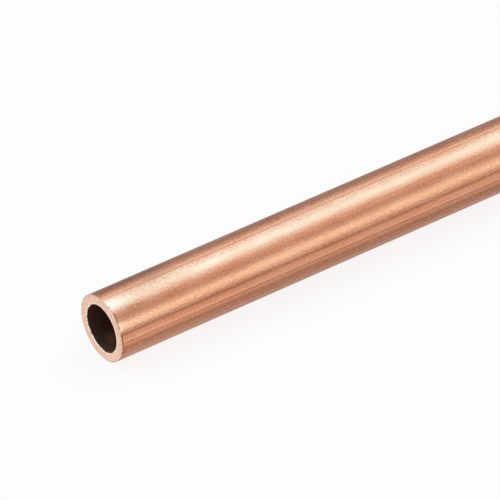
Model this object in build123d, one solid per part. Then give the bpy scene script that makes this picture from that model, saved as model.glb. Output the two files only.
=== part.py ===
from build123d import *
import os

# A straight length of drawn copper pipe, sawn square at both ends.
# It lies on its side along X, and Z = 0 is the level surface that it rests on.
# The origin is on that surface, under the middle of the pipe. Sizes are in millimetres.

# Driving dimensions
pipe_length = 200.0
outer_diameter = 10.0
wall_thickness = 1.5
outer_edge_round = 0.15
bore_edge_chamfer = 0.1

# The turned surface starts and ends on a line this many degrees round from straight down,
# so that the pipe doesn't rest on that line.
start_line_angle = 7.5

# Sizes that follow from them
outer_radius = outer_diameter / 2
bore_radius = outer_radius - wall_thickness


def wall_section():
    # The wall cut along the pipe, drawn above the pipe's own axis:
    # a long thin rectangle with its outer corners rounded and its bore corners chamfered.
    with BuildSketch(Plane.XZ) as section:
        with Locations((0, bore_radius)):
            Rectangle(pipe_length, wall_thickness, align=(Align.CENTER, Align.MIN))
        bore_corners = section.vertices().group_by(Axis.Z)[0]
        chamfer(bore_corners, bore_edge_chamfer)
        outer_corners = section.vertices().group_by(Axis.Z)[-1]
        fillet(outer_corners, outer_edge_round)
    return section.sketch


def pipe():
    # The section turned once round the pipe's axis, then set down on the surface.
    start = Rot(180 + start_line_angle, 0, 0) * wall_section()
    turned = revolve(start, axis=Axis.X)
    return Pos(0, 0, outer_radius) * turned


os.makedirs("parts", exist_ok=True)
export_step(pipe(), "parts/pipe.step")
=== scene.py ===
import math

import bpy
import numpy as np
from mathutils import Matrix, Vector


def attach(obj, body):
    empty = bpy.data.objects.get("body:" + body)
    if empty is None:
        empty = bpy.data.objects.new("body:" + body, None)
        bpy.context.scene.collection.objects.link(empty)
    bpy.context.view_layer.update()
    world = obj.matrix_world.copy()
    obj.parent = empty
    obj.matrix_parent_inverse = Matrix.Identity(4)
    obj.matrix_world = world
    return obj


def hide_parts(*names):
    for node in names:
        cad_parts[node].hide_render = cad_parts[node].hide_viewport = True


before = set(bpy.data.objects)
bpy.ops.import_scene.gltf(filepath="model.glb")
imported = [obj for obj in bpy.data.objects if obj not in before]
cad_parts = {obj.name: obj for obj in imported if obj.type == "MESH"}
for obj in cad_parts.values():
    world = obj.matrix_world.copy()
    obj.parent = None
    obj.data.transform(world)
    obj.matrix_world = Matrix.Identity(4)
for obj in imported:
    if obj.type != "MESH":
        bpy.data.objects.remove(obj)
scene = bpy.context.scene
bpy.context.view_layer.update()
print("frame loaded")


# A socket that takes part in plain sums. Each sum adds one Math node to the tree.
class Wire:
    def __init__(self, tree, socket=None):
        self.tree = tree
        self.socket = socket

    # Any node: its type, its settings, which are set first, and the values or links of its sockets.
    def node(self, kind, settings=None, inputs=None, out=0):
        made = self.tree.nodes.new(kind)
        for name, value in (settings or {}).items():
            setattr(made, name, value)
        for name, value in (inputs or {}).items():
            if isinstance(value, Wire):
                self.tree.links.new(value.socket, made.inputs[name])
            else:
                made.inputs[name].default_value = value
        return Wire(self.tree, made.outputs[out] if len(made.outputs) else None)

    def sum(self, operation, first, second=0.0, third=0.0):
        return self.node("ShaderNodeMath", {"operation": operation}, {0: first, 1: second, 2: third})

    def __add__(self, other):
        return self.sum("ADD", self, other)

    def __radd__(self, other):
        return self.sum("ADD", other, self)

    def __sub__(self, other):
        return self.sum("SUBTRACT", self, other)

    def __rsub__(self, other):
        return self.sum("SUBTRACT", other, self)

    def __mul__(self, other):
        return self.sum("MULTIPLY", self, other)

    def __rmul__(self, other):
        return self.sum("MULTIPLY", other, self)

    # A soft step from 0 at low to 1 at high.
    def step(self, low, high):
        return self.node(
            "ShaderNodeMapRange",
            {"interpolation_type": "SMOOTHSTEP"},
            {"Value": self, "From Min": low, "From Max": high, "To Min": 0.0, "To Max": 1.0},
        )

    # Noise on the object's own coordinates, with its own number of bumps per metre along each axis.
    def noise(self, perMetre, detail=2.0, rough=0.5, shift=(0.0, 0.0, 0.0), turn=(0.0, 0.0, 0.0)):
        place = self.node("ShaderNodeTexCoord", out="Object")
        placed = self.node(
            "ShaderNodeMapping",
            {"vector_type": "POINT"},
            {"Vector": place, "Location": shift, "Rotation": turn, "Scale": perMetre},
        )
        return self.node(
            "ShaderNodeTexNoise",
            {"noise_dimensions": "3D"},
            {"Vector": placed, "Scale": 1.0, "Detail": detail, "Roughness": rough},
        )

    def blend(self, amount, first, second):
        return self.node("ShaderNodeMix", {"data_type": "RGBA"}, {0: amount, 6: first, 7: second}, out=2)


def newMaterial(name):
    material = bpy.data.materials.new(name)
    material.use_nodes = True
    material.node_tree.nodes.clear()
    return material, Wire(material.node_tree)


def finishMaterial(wire, constants, varying):
    surface = wire.node("ShaderNodeBsdfPrincipled", None, {**constants, **varying})
    wire.node("ShaderNodeOutputMaterial", None, {"Surface": surface})


pipeSpec = {
    "length": 0.200,
    "outerRadius": 0.005,
    "boreRadius": 0.0035,
    "edgeRound": 0.00015,  # on the outer edge of each sawn end
    "boreChamfer": 0.0001,  # on the bore's mouth
    "stepsAround": 720,
    "stepsOnFace": 24,
    "stepsOnRound": 7,
    "stepsOnMouth": 3,
    "stepsAlong": 30,
    "faceMark": 1.6e-6,  # depth of the saw's marks on the end faces
    "wave": 3.0e-6,  # mean depth of the skin's slow waves
    "ringPitches": (1.7e-4, 0.9e-4),  # of the saw's coarse and fine rings
    "sharpAngle": 35.0,  # edges that turn by more degrees than this are shaded sharp
    "tiny": 1e-9,  # lengths closer than this count as the same
    # Lines that the drawing die left along the skin: angle from +Y towards +Z in degrees, width, depth.
    "dieLines": [
        (91.5, 1.6, 4.0e-6),
        (160.5, 3.4, 9.0e-6),
        (176.2, 1.5, 7.0e-6),
        (183.5, 1.2, 2.0e-6),
        (21.0, 2.2, 4.0e-6),
        (336.0, 1.8, 5.0e-6),
        (248.0, 2.6, 4.0e-6),
    ],
    # How the side's lines creep round the pipe along its length: the angle from which they do, the
    # number of degrees past it over which that grows, the degrees of creep a metre for each degree
    # past it, and the X at which the lines lie as listed.
    "creep": (142.0, 70.0, 1.0, -0.067),
    # The burr that the saw pushed into the near mouth: angle, spread, height, teeth per turn.
    "burr": (305.0, 40.0, 2.4e-5, 55),
    "burrReach": 1e-4,  # how soon it dies away into the bore
}


# The wall cut along the pipe, as a closed loop of (x, radius) points: along the skin from the near end
# to the far end, down the far face, back along the bore and up the near face.
def wallLoop(spec):
    half = spec["length"] / 2
    outer = spec["outerRadius"]
    bore = spec["boreRadius"]
    rounded = spec["edgeRound"]
    chamfer = spec["boreChamfer"]
    quarter = np.linspace(0.0, math.pi / 2, spec["stepsOnRound"] + 1)
    face = np.linspace(bore + chamfer, outer - rounded, spec["stepsOnFace"] + 1)
    along = np.linspace(-1.0, 1.0, spec["stepsAlong"] + 1)[1:-1]
    inside = np.array([0.99995, 0.9992, 0.997, 0.99, 0.97, 0.9, 0.7, 0.4])
    inside = np.concatenate([inside, [0.0], -inside[::-1]])
    slope = np.linspace(0.0, 1.0, spec["stepsOnMouth"] + 1)[1:]

    nearRound = np.stack(
        [-half + rounded * (1 - np.sin(quarter)), outer - rounded * (1 - np.cos(quarter))], 1
    )[::-1]
    skin = np.stack([along * (half - rounded), np.full(along.shape, outer)], 1)
    farRound = nearRound[::-1] * [-1.0, 1.0]
    farFace = np.stack([np.full(face.shape, half), face[::-1]], 1)[1:]
    farMouth = np.stack([half - chamfer * slope, bore + chamfer * (1 - slope)], 1)
    hole = np.stack([inside * (half - chamfer), np.full(inside.shape, bore)], 1)
    nearMouth = farMouth[::-1] * [-1.0, 1.0]
    nearFace = np.stack([np.full(face.shape, -half), face], 1)[:-1]
    loop = np.concatenate([nearRound, skin, farRound, farFace, farMouth, hole, nearMouth, nearFace])

    # Which material each step from one row to the next wears: 0 skin, 1 sawn copper, 2 bore.
    midX = np.abs(loop[:, 0] + np.roll(loop[:, 0], -1)) / 2
    midRadius = (loop[:, 1] + np.roll(loop[:, 1], -1)) / 2
    wears = np.zeros(len(loop), int)
    wears[midX > half - rounded * 0.25] = 1
    wears[midRadius < bore + chamfer] = 1
    wears[midRadius < bore + spec["tiny"]] = 2
    return loop, wears


# The loop carried once round the pipe's axis. Each point sits at its radius, less the die lines' dips
# and the slow waves on the skin, and less the burr's teeth at the near mouth. The saw's rings set the
# points of the end faces in along X.
def makePipe(spec):
    loop, wears = wallLoop(spec)
    around = np.arange(spec["stepsAround"]) * (2 * math.pi / spec["stepsAround"])
    degrees = np.degrees(around)[None, :]
    x = np.repeat(loop[:, :1], len(around), 1)
    radius = np.repeat(loop[:, 1:], len(around), 1)
    half = spec["length"] / 2

    onSkin = loop[:, 1:] > spec["outerRadius"] - 1e-7
    begin, grows, rate, listedAt = spec["creep"]
    fromBottom = (degrees + 90) % 360 - 90
    crept = fromBottom - np.clip(fromBottom - begin, 0, grows) * (x - listedAt) * rate
    dips = np.zeros_like(crept)
    for angle, width, depth in spec["dieLines"]:
        away = (crept - angle + 180) % 360 - 180
        dips = dips + depth * np.exp(-((away / width * 2) ** 2))
    slow = 1 + 0.5 * np.sin(2 * around[None, :] + 61 * x) + 0.5 * np.sin(5 * around[None, :] - 97 * x + 1.3)
    radius = radius - onSkin * (dips + spec["wave"] * slow)

    onFace = np.abs(np.abs(loop[:, :1]) - half) < spec["tiny"]
    coarse, fine = spec["ringPitches"]
    rings = np.sin(radius * 2 * math.pi / coarse + 0.8 * np.sin(around[None, :] * 3))
    rings = rings + 0.6 * np.sin(radius * 2 * math.pi / fine + 1.9)
    x = x - onFace * np.sign(x) * spec["faceMark"] * (1.6 + rings)

    angle, spread, height, teeth = spec["burr"]
    away = (degrees - angle + 180) % 360 - 180
    bite = np.exp(-((away / spread) ** 2))
    tooth = 0.55 + 0.45 * np.sin(around[None, :] * teeth + 1.5 * np.sin(around[None, :] * 7))
    mouth = spec["boreRadius"] + spec["boreChamfer"] + spec["tiny"]
    atMouth = np.exp(-(x + half) / spec["burrReach"]) * (loop[:, 1:] < mouth)
    radius = radius - atMouth * bite * tooth * height

    y = radius * np.cos(around)
    z = spec["outerRadius"] + radius * np.sin(around)
    points = np.stack([x, y, z], -1).reshape(-1, 3)

    rows, columns = x.shape
    i = np.arange(rows)[:, None]
    j = np.arange(columns)[None, :]
    here = i * columns + j
    onward = i * columns + (j + 1) % columns
    nextHere = (i + 1) % rows * columns + j
    nextOnward = (i + 1) % rows * columns + (j + 1) % columns
    quads = np.stack([here, onward, nextOnward, nextHere], -1).reshape(-1, 4)

    mesh = bpy.data.meshes.new("copperPipe")
    mesh.from_pydata(points.tolist(), [], quads.tolist())
    mesh.polygons.foreach_set("use_smooth", np.ones(len(quads), bool))
    mesh.polygons.foreach_set("material_index", np.repeat(wears, columns).astype(np.int32))
    mesh.set_sharp_from_angle(angle=math.radians(spec["sharpAngle"]))
    mesh.update()
    made = bpy.data.objects.new("copperPipe", mesh)
    scene.collection.objects.link(made)
    return made


skinFinish = {
    "copper": (0.93, 0.425, 0.25, 1.0),
    "bright": (0.97, 0.55, 0.37, 1.0),  # specks that handling has rubbed bright, and the colour of the painted highlight lines and patches
    "dull": (0.80, 0.315, 0.175, 1.0),
    "lineTint": (0.60, 0.20, 0.09, 1.0),  # the die lines' own colour, and painted dark reflection lines along the skin
    "edgeShade": (0.22, 0.085, 0.045, 1.0),  # painted shade: the dark line along the burr on each sawn end's rounding
    "roughness": 0.22,
    "polishAndSheen": (1.0, 0.61, 0.43, 1.0),  # where the sawn ends were filed and wiped, and painted highlight: the skin is paler near the ends
    "shade": (0.55, 0.25, 0.15, 1.0),  # painted shade: darker patches on the skin
    # Heights of the shading's relief in micrometres.
    "grain": 20.0,
    "rubbed": 9.0,
    "drawn": 8.0,
    "mottle": 18.0,
    # Bumps per metre of each noise, along X, Y and Z.
    "grainPerMetre": (4200, 4800, 4800),
    "rubbedPerMetre": (1300, 2600, 2600),
    "drawnPerMetre": (14, 2600, 2600),
    "streaksPerMetre": (9, 1100, 1100),
    "mottlePerMetre": (320, 520, 520),
    "patchesPerMetre": (120, 330, 330),
    "brokenPerMetre": (260, 260, 260),
    "gapsPerMetre": (900, 900, 900),
    # How strongly the grain shows in the colour: everywhere, more where scuffed, more where scored.
    "grainShows": (2.9, 2.7, 1.2),
    # Coloured lines along the skin: angle from +Y towards +Z in degrees, half width, strength. The dark
    # ones are partly the die lines' own colour and partly painted dark reflection lines.
    "lines": [
        (160.2, 2.1, 0.75),
        (176.3, 1.7, 0.85),
        (92.2, 1.6, 0.55),
        (83.0, 1.8, 0.12),
        (66.5, 3.5, 0.18),
        (131.0, 1.6, 0.20),
        (134.8, 1.3, 0.18),
        (186.0, 4.2, 0.3),
        (197.6, 2.6, 0.12),
        (210.8, 2.8, 0.14),
        (21.0, 1.9, 0.35),
        (336.0, 1.5, 0.40),
        (248.0, 2.2, 0.35),
    ],
    # Painted highlight lines: the light edges beside the die lines, and light lines in the reflection.
    "lightLines": [
        (172.2, 1.6, 0.9),
        (179.2, 1.2, 0.35),
        (88.4, 1.9, 0.95),
        (164.6, 2.6, 0.4),
        (127.5, 4.0, 0.3),
        (192.6, 2.0, 0.15),
        (203.6, 2.8, 0.45),
    ],
    # Where the skin is less speckled, from a little way in from the near end.
    "calmer": [(109.0, 17.0, 0.48), (129.0, 9.0, 0.32), (147.0, 11.0, 0.2), (169.0, 9.0, 0.2)],
    "calmFrom": (0.006, 0.024),
    "scuffed": (86.0, 30.0, 1.1),  # where the top is rubbed more: angle, half width, how much more
    "scored": (188.0, 40.0, 1.5),  # where the die has scored the side more
    "endReach": 0.010,  # how far from each end the saw's vice and cloth have rubbed the skin
    # Patches on the skin: angle, half width, distance in from the near end, half length, strength.
    # The patches of polish and painted highlight lie at both ends.
    "polishAndSheenAt": [
        (107.0, 28.0, 0.0, 0.0050, 0.75),
        (141.0, 16.0, 0.0, 0.0022, 1.0),
        (152.0, 7.0, 0.0, 0.0009, 0.8),
        (70.0, 26.0, 0.0, 0.0003, 0.9),
    ],
    # Painted shade: darker patches of the skin's reflection.
    "shadePatches": [
        (66.0, 15.0, 0.0060, 0.0110, 0.72),
        (123.0, 13.0, 0.0030, 0.0050, 0.5),
        (127.0, 10.0, 0.0080, 0.0045, 0.2),
        (91.0, 12.0, 0.0090, 0.0060, 0.4),
        (158.0, 6.0, 0.0060, 0.0060, 0.3),
        (92.4, 1.3, 0.0210, 0.0070, 0.35),
    ],
    # Painted highlight: brighter patches of the skin's reflection.
    "paintedHighlightPatches": [
        (110.0, 14.0, 0.0170, 0.0045, 0.7),
        (110.0, 12.0, 0.0255, 0.0020, 0.5),
        (74.0, 9.0, 0.0200, 0.0080, 0.35),
        (62.0, 11.0, 0.0205, 0.0100, 0.9),
        (89.0, 1.3, 0.0225, 0.0060, 0.3),
    ],
    # Painted shade: the dark line along the burr round each end: how far in it lies and its half width,
    # where it lies further in, its strength all round, and where it is stronger or weaker.
    "edgeLine": (0.00013, 0.00016),
    "edgeSets": [(127.0, 9.0, 0.00012), (144.0, 8.0, -0.00005), (168.0, 14.0, -0.00004)],
    "edgeEven": 0.3,
    "edgeSpots": [
        (67.0, 20.0, -0.4),
        (94.0, 15.0, -0.4),
        (102.0, 12.0, -0.5),
        (110.0, 5.0, 0.5),
        (127.0, 6.0, 0.35),
        (135.0, 8.0, 0.9),
        (146.0, 6.0, 0.75),
        (152.0, 5.0, -0.6),
        (167.0, 12.0, 1.15),
        (178.0, 7.0, 0.4),
        (194.0, 7.0, 0.9),
    ],
}


# How far along the pipe a point is, where round its axis, in degrees from +Y towards +Z, and how far
# from that axis. The angle is the arctangent of -Y over the height above the axis, plus 90 degrees.
def angleRound(wire):
    place = wire.node("ShaderNodeTexCoord", out="Object")
    parts = wire.node("ShaderNodeSeparateXYZ", None, {"Vector": place}, out="Y")
    up = Wire(wire.tree, parts.socket.node.outputs["Z"]) - pipeSpec["outerRadius"]
    along = Wire(wire.tree, parts.socket.node.outputs["X"])
    turned = wire.sum("ARCTAN2", parts * -1.0, up) * (180 / math.pi) + 90.0
    reach = wire.sum("SQRT", parts * parts + up * up)
    return along, turned, reach


# A soft line of each (angle, half width, strength) round the skin, added up.
def linesAlong(wire, angle, lines):
    total = 0.0
    for centre, halfWidth, strength in lines:
        away = wire.sum("ABSOLUTE", wire.sum("WRAP", angle - centre, 180.0, -180.0))
        total = (1.0 - away.step(0.0, halfWidth)) * strength + total
    return total


# Soft patches of (angle, half width, distance in from the near end, half length, strength), added up.
def patchesOn(wire, angle, fromNear, patches):
    total = 0.0
    for centre, halfWidth, place, halfLength, strength in patches:
        ends = 1.0 - wire.sum("ABSOLUTE", fromNear - place).step(0.0, halfLength)
        total = linesAlong(wire, angle, [(centre, halfWidth, strength)]) * ends + total
    return total


def skinMaterial(look):
    material, wire = newMaterial("drawnCopper")
    along, angle, _ = angleRound(wire)
    fromEnd = pipeSpec["length"] / 2 - wire.sum("ABSOLUTE", along)
    nearEnd = 1.0 - fromEnd.step(0.0, look["endReach"])
    fromNear = along + pipeSpec["length"] / 2
    grain = wire.noise(look["grainPerMetre"], 2.0, 0.6)
    rubbed = wire.noise(look["rubbedPerMetre"], 2.0, 0.6, shift=(3.0, 0.0, 0.0))
    drawn = wire.noise(look["drawnPerMetre"], 3.0, 0.65)
    streaks = wire.noise(look["streaksPerMetre"], 2.0, 0.5, shift=(2.0, 1.0, 0.0))
    mottle = wire.noise(look["mottlePerMetre"], 3.0, 0.6)
    patches = wire.noise(look["patchesPerMetre"], 2.0, 0.5, shift=(7.0, 0.0, 0.0))
    scuffed = linesAlong(wire, angle, [look["scuffed"]])
    scored = linesAlong(wire, angle, [look["scored"]])
    height = (
        grain * look["grain"] * (1.0 + scuffed)
        + rubbed * look["rubbed"] * (0.7 + nearEnd * 0.6)
        + drawn * look["drawn"] * (1.0 + scored)
        + mottle * look["mottle"] * (1.0 + nearEnd * 0.6)
    )
    normal = wire.node("ShaderNodeBump", None, {"Strength": 1.0, "Distance": 1e-6, "Height": height})

    even, whereScuffed, whereScored = look["grainShows"]
    tone = (grain - 0.5) * (even + scuffed * whereScuffed + scored * whereScored)
    tone = tone + (rubbed - 0.5) * (0.7 + nearEnd * 0.4)
    calm = linesAlong(wire, angle, look["calmer"]) * fromNear.step(*look["calmFrom"])
    tone = tone * (1.0 - calm)
    tone = tone + (drawn - 0.5) * (1.0 + scored * 0.6) + (streaks - 0.5) * 0.9
    tone = tone + (mottle - 0.5) * (0.3 + scuffed * 1.1) + (patches - 0.5) * (1.3 - scored * 0.5) + 0.5
    colour = wire.blend(tone.step(0.5, 1.25), look["copper"], look["bright"])
    colour = wire.blend(1.0 - tone.step(-0.25, 0.5), colour, look["dull"])
    broken = wire.noise(look["brokenPerMetre"], 3.0, 0.6).step(0.25, 0.6) * 0.4 + 0.6
    begin, grows, rate, listedAt = pipeSpec["creep"]
    beyond = wire.sum("MINIMUM", wire.sum("MAXIMUM", angle - begin, 0.0), grows)
    crept = angle - beyond * (along - listedAt) * rate
    # The dark lines are partly the die lines' own colour and partly painted reflection lines; the light
    # lines are painted highlights.
    colour = wire.blend(linesAlong(wire, crept, look["lines"]) * broken, colour, look["lineTint"])
    colour = wire.blend(linesAlong(wire, crept, look["lightLines"]) * broken, colour, look["bright"])
    # Painted shade: darker patches, broken into specks.
    specks = grain.step(0.62, 0.42) * 0.8 + 0.6
    colour = wire.blend(patchesOn(wire, angle, fromNear, look["shadePatches"]) * specks, colour, look["shade"])
    # Painted highlight: brighter patches on the skin.
    colour = wire.blend(patchesOn(wire, angle, fromNear, look["paintedHighlightPatches"]), colour, look["bright"])
    # Polish and painted highlight: the skin paler near both ends.
    colour = wire.blend(patchesOn(wire, angle, fromEnd, look["polishAndSheenAt"]), colour, look["polishAndSheen"])
    # Painted shade: a dark line along the burr on the rounding round each end, stronger or weaker by angle.
    place, halfWidth = look["edgeLine"]
    burr = fromEnd - (linesAlong(wire, angle, look["edgeSets"]) + place)
    burr = 1.0 - wire.sum("ABSOLUTE", burr).step(0.0, halfWidth)
    gaps = wire.noise(look["gapsPerMetre"], 2.0, 0.6, shift=(1.0, 5.0, 2.0)).step(0.36, 0.56)
    dark = (linesAlong(wire, angle, look["edgeSpots"]) + look["edgeEven"]) * (0.75 + gaps * 0.35)
    colour = wire.blend(burr * dark, colour, look["edgeShade"])
    roughness = look["roughness"] + (patches - 0.5) * 0.20 + (grain - 0.5) * 0.12 - nearEnd * 0.03
    finishMaterial(
        wire,
        {"Metallic": 1.0},
        {"Base Color": colour, "Roughness": roughness, "Normal": normal},
    )
    return material


sawnFinish = {
    "copper": (0.88, 0.60, 0.47, 1.0),
    "shadow": (0.72, 0.45, 0.335, 1.0),
    "pink": (0.95, 0.64, 0.485, 1.0),
    "lip": (1.0, 0.80, 0.68, 1.0),  # a burnished lip round the mouth, with painted highlight; also the painted glint on the rim
    "glint": (1.0, 0.93, 0.84, 1.0),
    "scale": (0.12, 0.045, 0.028, 1.0),  # the bore's colour, which reaches a little way up the mouth
    "roughness": 0.42,
    "markPitch": 1.3e-4,  # between the saw's faint rings
    "lipReach": 3.8e-4,
    "lipSheen": (150.0, 60.0, 0.9),  # painted highlight: where that lip is brighter
    "glinting": (292.0, 30.0, 1.0),  # where the burr's teeth catch the light
    "teeth": 46.0,  # how many glints there would be all round the mouth
    "teethReach": 1.2e-4,  # how far out from the mouth they show
    "rim": (0.22, 0.175, 0.15, 1.0),  # painted shade: the dark outline of the outer rim
    "rimEven": 0.15,
    "rimSpots": [
        (10.0, 42.0, 0.55),
        (248.0, 34.0, 0.85),
        (300.0, 75.0, 0.6),
        (118.0, 40.0, -0.1),
        (72.0, 20.0, -0.1),
    ],
    # A painted highlight on the rim at one side.
    "rimGlint": (121.0, 24.0, 0.8),
    # How far up the mouth's chamfer the bore's scale reaches, as a share of it, and where it is more or
    # less. Where it reaches further, it is partly painted shade on the chamfer.
    "scaleEven": 0.5,
    "scaleRagged": 4e-5,  # how uneven its edge is
    "scaleSoft": 1.5e-5,  # half the width over which it ends
    "scaleAndShadeSpots": [
        (233.0, 46.0, 0.85),
        (198.0, 22.0, 0.6),
        (176.0, 20.0, 0.3),
        (145.0, 60.0, 1.0),
        (102.0, 15.0, 0.4),
        (32.0, 18.0, -0.2),
        (356.0, 22.0, 0.3),
        (298.0, 34.0, -0.2),
    ],
    "lighter": (232.0, 46.0, 0.55),  # painted light: where the face is a little brighter
    # Bumps per metre of each noise, along X, Y and Z.
    "scratchPerMetre": (5200, 5200, 700),
    "specklePerMetre": (4600, 4600, 4600),
    "driftPerMetre": (600, 600, 600),
    "pitsPerMetre": (1900, 1900, 1900),
    "glintsPerMetre": (2600, 2600, 2600),
}


def sawnMaterial(look):
    material, wire = newMaterial("sawnCopper")
    _, angle, reach = angleRound(wire)
    scratch = wire.noise(look["scratchPerMetre"], 3.0, 0.6, turn=(0.5, 0.0, 0.0))
    speckle = wire.noise(look["specklePerMetre"], 2.0, 0.6)
    drift = wire.noise(look["driftPerMetre"], 2.0, 0.5)
    pitted = wire.noise(look["pitsPerMetre"], 3.0, 0.7, shift=(2.0, 3.0, 0.0))
    rings = wire.node(
        "ShaderNodeTexNoise",
        {"noise_dimensions": "1D"},
        {"W": reach * (1 / look["markPitch"]) + drift * 1.2, "Scale": 1.0, "Detail": 2.0, "Roughness": 0.6},
    )
    height = scratch * 8.0 + speckle * 12.0 + rings * 7.0 + pitted * 16.0
    normal = wire.node("ShaderNodeBump", None, {"Strength": 1.0, "Distance": 1e-6, "Height": height})
    dull = speckle.step(0.42, 0.78) * 0.40 + rings.step(0.45, 0.75) * 0.45 + scratch.step(0.5, 0.8) * 0.2
    dull = dull + pitted.step(0.46, 0.66) * 0.85
    light = drift.step(0.45, 0.65) * 0.6 + pitted.step(0.52, 0.36) * 1.1
    colour = wire.blend(light, look["copper"], look["pink"])
    colour = wire.blend(dull, colour, look["shadow"])
    # Painted light: the face a little brighter on one side.
    colour = wire.blend(linesAlong(wire, angle, [look["lighter"]]), colour, look["pink"])
    mouth = pipeSpec["boreRadius"] + pipeSpec["boreChamfer"]
    # A burnished lip round the mouth, with a painted highlight that is brighter at some angles.
    glints = wire.noise(look["glintsPerMetre"], 1.0, 0.5, shift=(0.0, 4.0, 1.0)).step(0.42, 0.60)
    lip = 1.0 - reach.step(mouth, mouth + look["lipReach"])
    lip = lip * (glints * 0.6 + linesAlong(wire, angle, [look["lipSheen"]]) + 0.35)
    colour = wire.blend(lip, colour, look["lip"])
    outer = pipeSpec["outerRadius"]
    rounded = pipeSpec["edgeRound"]
    # Painted shade: a dark outline on the outer rim, with a painted glint on it at one side.
    rim = reach.step(outer - rounded * 1.2, outer - rounded * 0.75)
    rimShade = linesAlong(wire, angle, look["rimSpots"]) + look["rimEven"]
    colour = wire.blend(rim * rimShade, colour, look["rim"])
    colour = wire.blend(rim * linesAlong(wire, angle, [look["rimGlint"]]), colour, look["lip"])
    # Painted glints where the burr's teeth catch the light.
    teeth = wire.sum("SINE", angle * (look["teeth"] * math.pi / 180) + drift * 9.0).step(0.0, 0.8)
    teeth = teeth * linesAlong(wire, angle, [look["glinting"]])
    teeth = teeth * (1.0 - reach.step(mouth, mouth + look["teethReach"]))
    colour = wire.blend(teeth, colour, look["glint"])
    # The bore's scale up the mouth's chamfer, partly painted shade where it reaches further.
    share = linesAlong(wire, angle, look["scaleAndShadeSpots"]) + look["scaleEven"]
    within = reach - share * pipeSpec["boreChamfer"]
    within = within + (glints - 0.5) * look["scaleRagged"] - pipeSpec["boreRadius"]
    colour = wire.blend(1.0 - within.step(-look["scaleSoft"], look["scaleSoft"]), colour, look["scale"])
    roughness = look["roughness"] + (scratch - 0.5) * 0.2
    finishMaterial(
        wire,
        {"Metallic": 1.0},
        {"Base Color": colour, "Roughness": roughness, "Normal": normal},
    )
    return material


boreFinish = {
    "scale": (0.11, 0.045, 0.032, 1.0),
    # Bare copper in the speckles, and the lighter colour of the painted light.
    "bareAndLit": (0.42, 0.15, 0.085, 1.0),
    "thin": (228.0, 85.0, 0.6),  # painted light: where the wall is lighter, facing the light that comes in at the mouth: angle, half width, how much shows through
    "thinDeeper": (284.0, 30.0, 0.7),  # and further in
    "deeper": (0.0010, 0.0024),  # from and to how far in that begins
    "drawnPerMetre": (20, 1500, 1500),
    "specklePerMetre": (3000, 3000, 3000),
    "roughness": 0.6,
}


def boreMaterial(look):
    material, wire = newMaterial("oxidisedBore")
    drawn = wire.noise(look["drawnPerMetre"], 3.0, 0.6)
    speckle = wire.noise(look["specklePerMetre"], 3.0, 0.6)
    normal = wire.node(
        "ShaderNodeBump", None, {"Strength": 1.0, "Distance": 1e-6, "Height": drawn * 8.0 + speckle * 6.0}
    )
    along, angle, _ = angleRound(wire)
    depth = along + pipeSpec["length"] / 2
    # Painted light: the wall lighter on the side that the light from the mouth reaches.
    thin = linesAlong(wire, angle, [look["thin"]])
    thin = thin + linesAlong(wire, angle, [look["thinDeeper"]]) * depth.step(*look["deeper"])
    colour = wire.blend(speckle.step(0.45, 0.75) * 0.4 + thin, look["scale"], look["bareAndLit"])
    roughness = look["roughness"] + (speckle - 0.5) * 0.2
    finishMaterial(
        wire,
        {"Metallic": 0.8},
        {"Base Color": colour, "Roughness": roughness, "Normal": normal},
    )
    return material


pipe = makePipe(pipeSpec)
pipe.data.materials.append(skinMaterial(skinFinish))
pipe.data.materials.append(sawnMaterial(sawnFinish))
pipe.data.materials.append(boreMaterial(boreFinish))
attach(pipe, "root")
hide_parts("pipe")
print("pipe made:", len(pipe.data.polygons) * 2, "triangles")


studioSpec = {
    "floorSize": 16.0,
    "floorLines": 13,
    "floorColour": (0.97, 0.776, 0.691, 1.0),  # cream paper, which the cool lamps turn neutral
    "floorLift": 0.87,  # how far the paper's look is lifted to white; its shadows stay
    "tentRadius": 1.8,
    "tentLength": 10.8,
    "tentLines": (181, 9),  # round the arc and along it
    "fabric": (0.615, 0.575, 0.565),  # glow of the tent's cloth between its lamps
    # Lamps behind the cloth: where each begins and ends round the pipe's axis, in degrees from +Y
    # towards +Z, how soft those two edges are, and the glow that it adds.
    "lamps": [
        (60.2, 99.6, 11.0, 25.0, (0.44, 1.27, 1.80)),
        (32.8, 60.2, 14.0, 11.0, (0.29, 0.38, 0.425)),
        (95.0, 116.0, 12.0, 14.0, (0.15, 0.10, 0.03)),
        (146.0, 167.2, 12.0, 14.0, (0.51, 0.83, 0.88)),
    ],
    # The cloth's darker feet, on the +Y side and the -Y side: height in degrees and glow there.
    "feet": [(8.0, 33.0, (0.285, 0.26, 0.26)), (2.0, 10.0, (0.44, 0.40, 0.39))],
    # What the pipe's underside sees: a warm card on the floor, by its place along Y, and its glow.
    "cardTint": (1.09, 1.0, 0.97),
    # Its darker strips close to the pipe are painted shade: the floor's shade beside the pipe, as
    # reflections show it.
    "card": [
        (-0.55, 0.42),
        (-0.042, 0.42),
        (-0.030, 0.69),
        (-0.0142, 0.69),
        (-0.0130, 0.55),
        (-0.0102, 0.52),
        (-0.0080, 0.37),
        (-0.0052, 0.39),
        (-0.0048, 0.44),
        (-0.0043, 0.465),
        (-0.0038, 0.405),
        (-0.0033, 0.46),
        (-0.0028, 0.56),
        (0.0030, 0.50),
        (0.0060, 0.30),
        (0.0140, 0.40),
        (0.0220, 0.44),
        (0.0320, 0.36),
        (0.0500, 0.30),
        (0.55, 0.27),
    ],
    # How bright the card is along the pipe: share of the length from the middle, level, and how far
    # it has faded to the paper's white.
    "cardAlong": [
        (-0.5, 1.11, 0.0),
        (-0.44, 1.09, 0.0),
        (-0.36, 1.0, 0.0),
        (0.43, 1.0, 0.0),
        (0.46, 1.0, 0.2),
        (0.5, 1.0, 0.85),
    ],
    "paperWhite": 0.95,
    "cardHeight": 2e-5,  # above the floor
}


# A soft step from 0 at low to 1 at high: the share of the way, squared, times 3 less twice that share.
def softStep(value, low, high):
    part = np.clip((value - low) / (high - low), 0.0, 1.0)
    return part * part * (3 - 2 * part)


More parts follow.
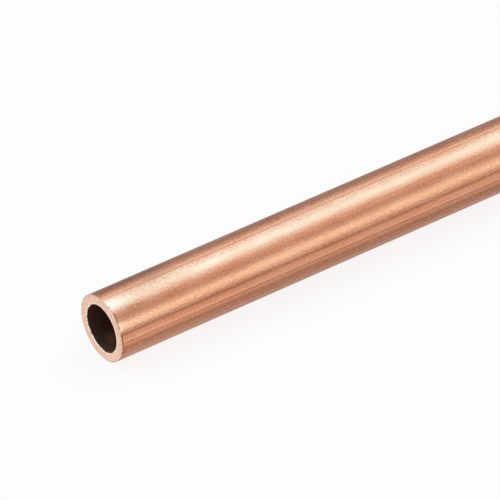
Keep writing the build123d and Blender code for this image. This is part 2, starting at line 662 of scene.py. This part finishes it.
# A half tunnel of cloth over the pipe: an arc round the pipe's axis carried along it. Its glow is the
# cloth's own level plus a soft-edged band for each lamp, and falls towards both feet.
def makeTent(spec):
    linesRound, linesAcross = spec["tentLines"]
    angle = np.radians(np.linspace(0.0, 180.0, linesRound))
    x = np.linspace(-spec["tentLength"] / 2, spec["tentLength"] / 2, linesAcross)
    angles, along = np.meshgrid(angle, x, indexing="ij")
    points = np.stack(
        [along, spec["tentRadius"] * np.cos(angles), spec["tentRadius"] * np.sin(angles)], -1
    ).reshape(-1, 3)
    rows, columns = angles.shape
    i = np.arange(rows - 1)[:, None] * columns
    j = np.arange(columns - 1)[None, :]
    here = i + j
    quads = np.stack([here, here + 1, here + columns + 1, here + columns], -1).reshape(-1, 4)
    mesh = bpy.data.meshes.new("lightTent")
    mesh.from_pydata(points.tolist(), [], quads.tolist())
    mesh.update()

    degrees = np.degrees(angles).reshape(-1)
    glow = np.tile(spec["fabric"], (len(degrees), 1))
    for begin, end, softBegin, softEnd, strength in spec["lamps"]:
        rise = softStep(degrees, begin - softBegin / 2, begin + softBegin / 2)
        fall = 1 - softStep(degrees, end - softEnd / 2, end + softEnd / 2)
        glow = glow + (rise * fall)[:, None] * np.array(strength)
    for (low, high, level), height in zip(spec["feet"], (degrees, 180 - degrees)):
        foot = softStep(height, low, high)[:, None]
        glow = np.minimum(glow, np.array(level) + (glow - np.array(level)) * foot)
    colours = np.concatenate([glow, np.ones((len(degrees), 1))], 1)
    return stageGlowing("lightTent", mesh, colours)


# A stage piece that glows by its points' own colours and that the camera doesn't see.
def stageGlowing(name, mesh, colours):
    layer = mesh.attributes.new("glow", "FLOAT_COLOR", "POINT")
    layer.data.foreach_set("color", colours.astype(np.float32).reshape(-1))
    material, wire = newMaterial(name)
    level = wire.node("ShaderNodeAttribute", {"attribute_name": "glow"}, out="Color")
    shine = wire.node("ShaderNodeEmission", None, {"Color": level, "Strength": 1.0})
    wire.node("ShaderNodeOutputMaterial", None, {"Surface": shine})
    mesh.materials.append(material)
    made = bpy.data.objects.new(name, mesh)
    scene.collection.objects.link(made)
    made.visible_camera = False
    return made


# A card that lies on the floor under the pipe, as long as it, and that only reflections see. Its glow
# is its level across the pipe times its level along it, tinted, and faded towards the paper's white.
def makeCard(spec):
    y = np.array([place for place, level in spec["card"]])
    level = np.array([level for place, level in spec["card"]])
    share, lift, faded = np.array(spec["cardAlong"]).T
    x = share * pipeSpec["length"]
    ys, xs = np.meshgrid(y, x, indexing="ij")
    points = np.stack([xs, ys, np.full_like(xs, spec["cardHeight"])], -1).reshape(-1, 3)
    columns = len(x)
    i = np.arange(len(y) - 1)[:, None] * columns
    j = np.arange(columns - 1)[None, :]
    here = i + j
    quads = np.stack([here, here + 1, here + columns + 1, here + columns], -1).reshape(-1, 4)
    mesh = bpy.data.meshes.new("greyCard")
    mesh.from_pydata(points.tolist(), [], quads.tolist())
    mesh.update()
    tinted = np.outer(level, lift).reshape(-1, 1) * np.array(spec["cardTint"])
    tinted = tinted + (spec["paperWhite"] - tinted) * np.tile(faded, len(y))[:, None]
    colours = np.concatenate([tinted, np.ones((len(tinted), 1))], 1)
    card = stageGlowing("greyCard", mesh, colours)
    card.visible_diffuse = False
    card.visible_shadow = False
    card.visible_transmission = False
    return card


# A level square grid of paper. It is lifted towards white where the camera sees it, straight or in a
# mirror or through glass, and keeps its own colour as a source of light.
def makeFloor(spec):
    half = spec["floorSize"] / 2
    count = spec["floorLines"]
    line = np.linspace(-half, half, count)
    x, y = np.meshgrid(line, line, indexing="ij")
    points = np.stack([x, y, np.zeros_like(x)], -1).reshape(-1, 3)
    i = np.arange(count - 1)[:, None] * count
    j = np.arange(count - 1)[None, :]
    here = i + j
    quads = np.stack([here, here + count, here + count + 1, here + 1], -1).reshape(-1, 4)
    mesh = bpy.data.meshes.new("floor")
    mesh.from_pydata(points.tolist(), [], quads.tolist())
    mesh.update()
    material, wire = newMaterial("palePaper")
    paper = wire.node("ShaderNodeBsdfDiffuse", None, {"Color": spec["floorColour"]})
    white = wire.node("ShaderNodeEmission", None, {"Color": (1.0, 1.0, 1.0, 1.0), "Strength": 1.0})
    seen = wire.sum(
        "MAXIMUM",
        wire.node("ShaderNodeLightPath", out="Is Camera Ray"),
        wire.sum(
            "MAXIMUM",
            wire.node("ShaderNodeLightPath", out="Is Glossy Ray"),
            wire.node("ShaderNodeLightPath", out="Is Transmission Ray"),
        ),
    )
    surface = wire.node("ShaderNodeMixShader", None, {0: seen * spec["floorLift"], 1: paper, 2: white})
    wire.node("ShaderNodeOutputMaterial", None, {"Surface": surface})
    mesh.materials.append(material)
    floor = bpy.data.objects.new("floor", mesh)
    scene.collection.objects.link(floor)
    return floor


world = bpy.data.worlds.new("studio")
scene.world = world
world.use_nodes = True
world.node_tree.nodes.clear()
sky = Wire(world.node_tree)
sky.node(
    "ShaderNodeOutputWorld",
    None,
    {"Surface": sky.node("ShaderNodeBackground", None, {"Color": (1.0, 1.0, 1.0, 1.0), "Strength": 1.0})},
)
makeFloor(studioSpec)
makeTent(studioSpec)
makeCard(studioSpec)
scene.view_settings.view_transform = "Standard"
print("studio made")


cameraSpec = {
    "azimuth": -35.456,  # degrees
    "elevation": 37.706,
    "distance": 0.893392,
    "aim": (-0.079714, -0.006410, 0.013468),
    "lens": 471.892,
    "sensor": 36.0,
    "clip": (0.01, 50.0),
}


# The camera stands at its aim plus its distance times the direction back from there, and looks at it.
def makeCamera(spec):
    turn = math.radians(spec["azimuth"])
    rise = math.radians(spec["elevation"])
    back = Vector((math.sin(turn) * math.cos(rise), -math.cos(turn) * math.cos(rise), math.sin(rise)))
    data = bpy.data.cameras.new("camera")
    data.lens = spec["lens"]
    data.sensor_width = spec["sensor"]
    data.clip_start, data.clip_end = spec["clip"]
    made = bpy.data.objects.new("camera", data)
    made.location = Vector(spec["aim"]) + back * spec["distance"]
    made.rotation_mode = "QUATERNION"
    made.rotation_quaternion = (-back).to_track_quat("-Z", "Y")
    scene.collection.objects.link(made)
    scene.camera = made
    return made


makeCamera(cameraSpec)
print("camera made")
